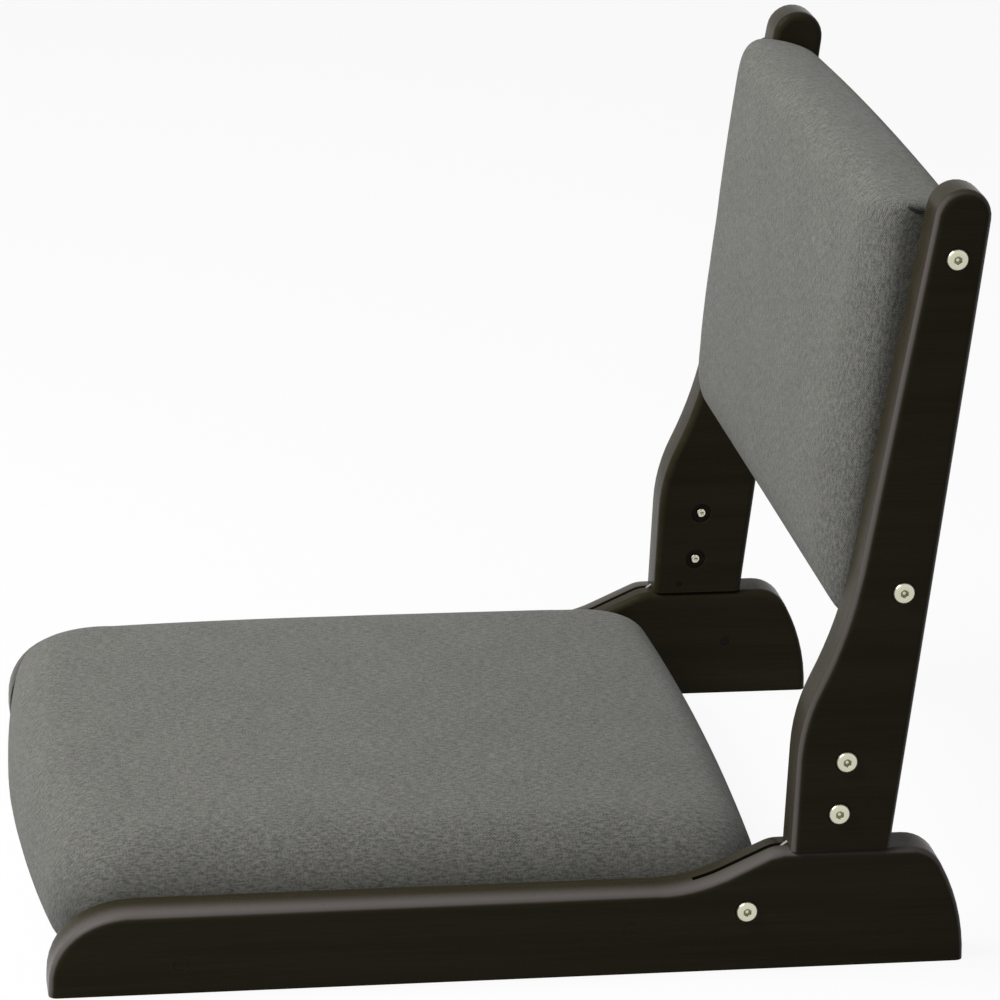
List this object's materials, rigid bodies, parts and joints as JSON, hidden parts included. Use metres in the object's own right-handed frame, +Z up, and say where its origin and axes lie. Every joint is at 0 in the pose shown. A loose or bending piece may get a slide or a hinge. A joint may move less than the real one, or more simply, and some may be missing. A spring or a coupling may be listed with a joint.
{
  "type": "folding floor chair",
  "caption": "Legless folding floor chair: two wooden side frames carry a padded seat and a padded back that turns forward over the seat on hinge plates.",
  "frame": {"origin": "on the floor, in the middle of the chair's width and of its length", "axes": "+Z up, -Y towards the side the sitter faces, +X towards the sitter's left"},
  "size_m": [0.4544, 0.524, 0.4489],
  "materials": {
    "dark_wood": "very dark brown satin lacquer over close-grained hardwood",
    "cover_cloth": "mid grey heathered fine-woven upholstery cloth",
    "lining_cloth": "thin black non-woven cloth",
    "foam": "cream upholstery foam",
    "frame_wood": "plain pale softwood and plywood",
    "nickel_steel": "nickel-plated steel",
    "zinc_steel": "zinc-plated steel",
    "black_steel": "black oxide on steel",
    "plate_steel": "flat steel plate with cut edges"
  },
  "bodies": {
    "base": {"rail_left": "dark_wood", "rail_right": "dark_wood", "seat_bar_front": "frame_wood", "seat_bar_rear": "frame_wood", "seat_bar_left": "frame_wood", "seat_bar_right": "frame_wood", "seat_board": "frame_wood", "seat_foam": "foam", "seat_cover": "cover_cloth", "seat_lining": "lining_cloth", "rail_screws": "zinc_steel", "screw_plugs": "dark_wood", "pivot_bolts": "nickel_steel", "pivot_inserts": "black_steel", "hinge_washers": "zinc_steel", "stop_pins": "black_steel", "seat_dowels": "frame_wood", "seat_board_screws": "zinc_steel"},
    "back": {"post_left": "dark_wood", "post_right": "dark_wood", "hinge_plate_left": "plate_steel", "hinge_plate_right": "plate_steel", "plate_bolts": "nickel_steel", "plate_inserts": "black_steel", "plate_pins": "black_steel", "back_bar_top": "frame_wood", "back_bar_bottom": "frame_wood", "back_bar_left": "frame_wood", "back_bar_right": "frame_wood", "back_board": "frame_wood", "back_foam": "foam", "back_cover": "cover_cloth", "back_lining": "cover_cloth", "back_bolts": "nickel_steel", "back_inserts": "zinc_steel", "back_dowels": "frame_wood", "back_board_screws": "zinc_steel"}
  },
  "joints": [
    {"name": "back_fold", "type": "hinge", "parent": "base", "child": "back", "pos_m": [0, 0.136, 0.0352], "axis": [1, 0, 0], "range_deg": [0, 87]}
  ]
}
